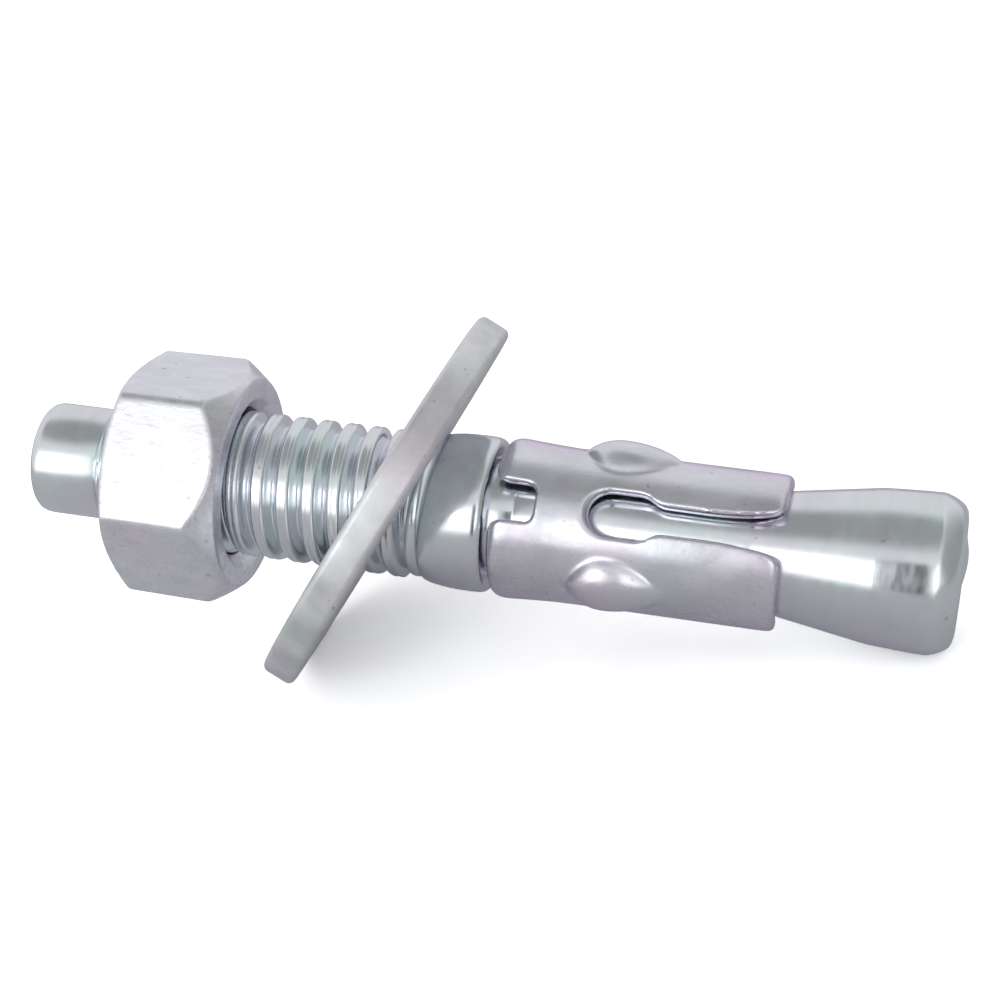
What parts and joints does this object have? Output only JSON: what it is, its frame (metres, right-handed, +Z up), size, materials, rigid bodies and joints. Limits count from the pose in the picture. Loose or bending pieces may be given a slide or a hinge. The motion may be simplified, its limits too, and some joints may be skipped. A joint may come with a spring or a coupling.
{
  "type": "wedge anchor",
  "caption": "Zinc-plated steel wedge anchor: a threaded stud with a hex nut and loose washer, and a rolled clip that its cone end spreads in a drilled hole.",
  "frame": {"origin": "centre of the bounding box's base, on the plane the anchor lies on", "axes": "+X along the stud from the drive point to the cone end, sloping down to it by about 10 degrees; +Z up; +Y to the left of someone looking along +X"},
  "size_m": [0.0572, 0.0252, 0.0209],
  "materials": {
    "stud_zinc": "bright zinc plate, slightly iridescent",
    "nut_zinc": "bright zinc plate, satin flats",
    "washer_zinc": "dull zinc plate",
    "clip_zinc": "bright zinc plate, lilac tint"
  },
  "bodies": {
    "stud": {"stud": "stud_zinc"},
    "washer": {"flat_washer": "washer_zinc"},
    "nut": {"hex_nut": "nut_zinc"},
    "clip": {"expansion_clip": "clip_zinc"}
  },
  "joints": [
    {"name": "washer_slide", "type": "slide", "parent": "stud", "child": "washer", "axis": [0.9851, 0, -0.1719], "range_m": [-0.0096, 0]},
    {"name": "nut_turn", "type": "hinge", "parent": "washer", "child": "nut", "pos_m": [-0.01793, 0, 0.01249], "axis": [0.9851, 0, -0.1719], "range_deg": [-2160, 0]},
    {"name": "clip_turn", "type": "hinge", "parent": "stud", "child": "clip", "pos_m": [0.00962, 0, 0.00768], "axis": [0.9851, 0, -0.1719], "continuous": true}
  ],
  "couplings": [
    {"joint": "washer_slide", "follows": "nut_turn", "m_per_rad": 0.00025266}
  ]
}
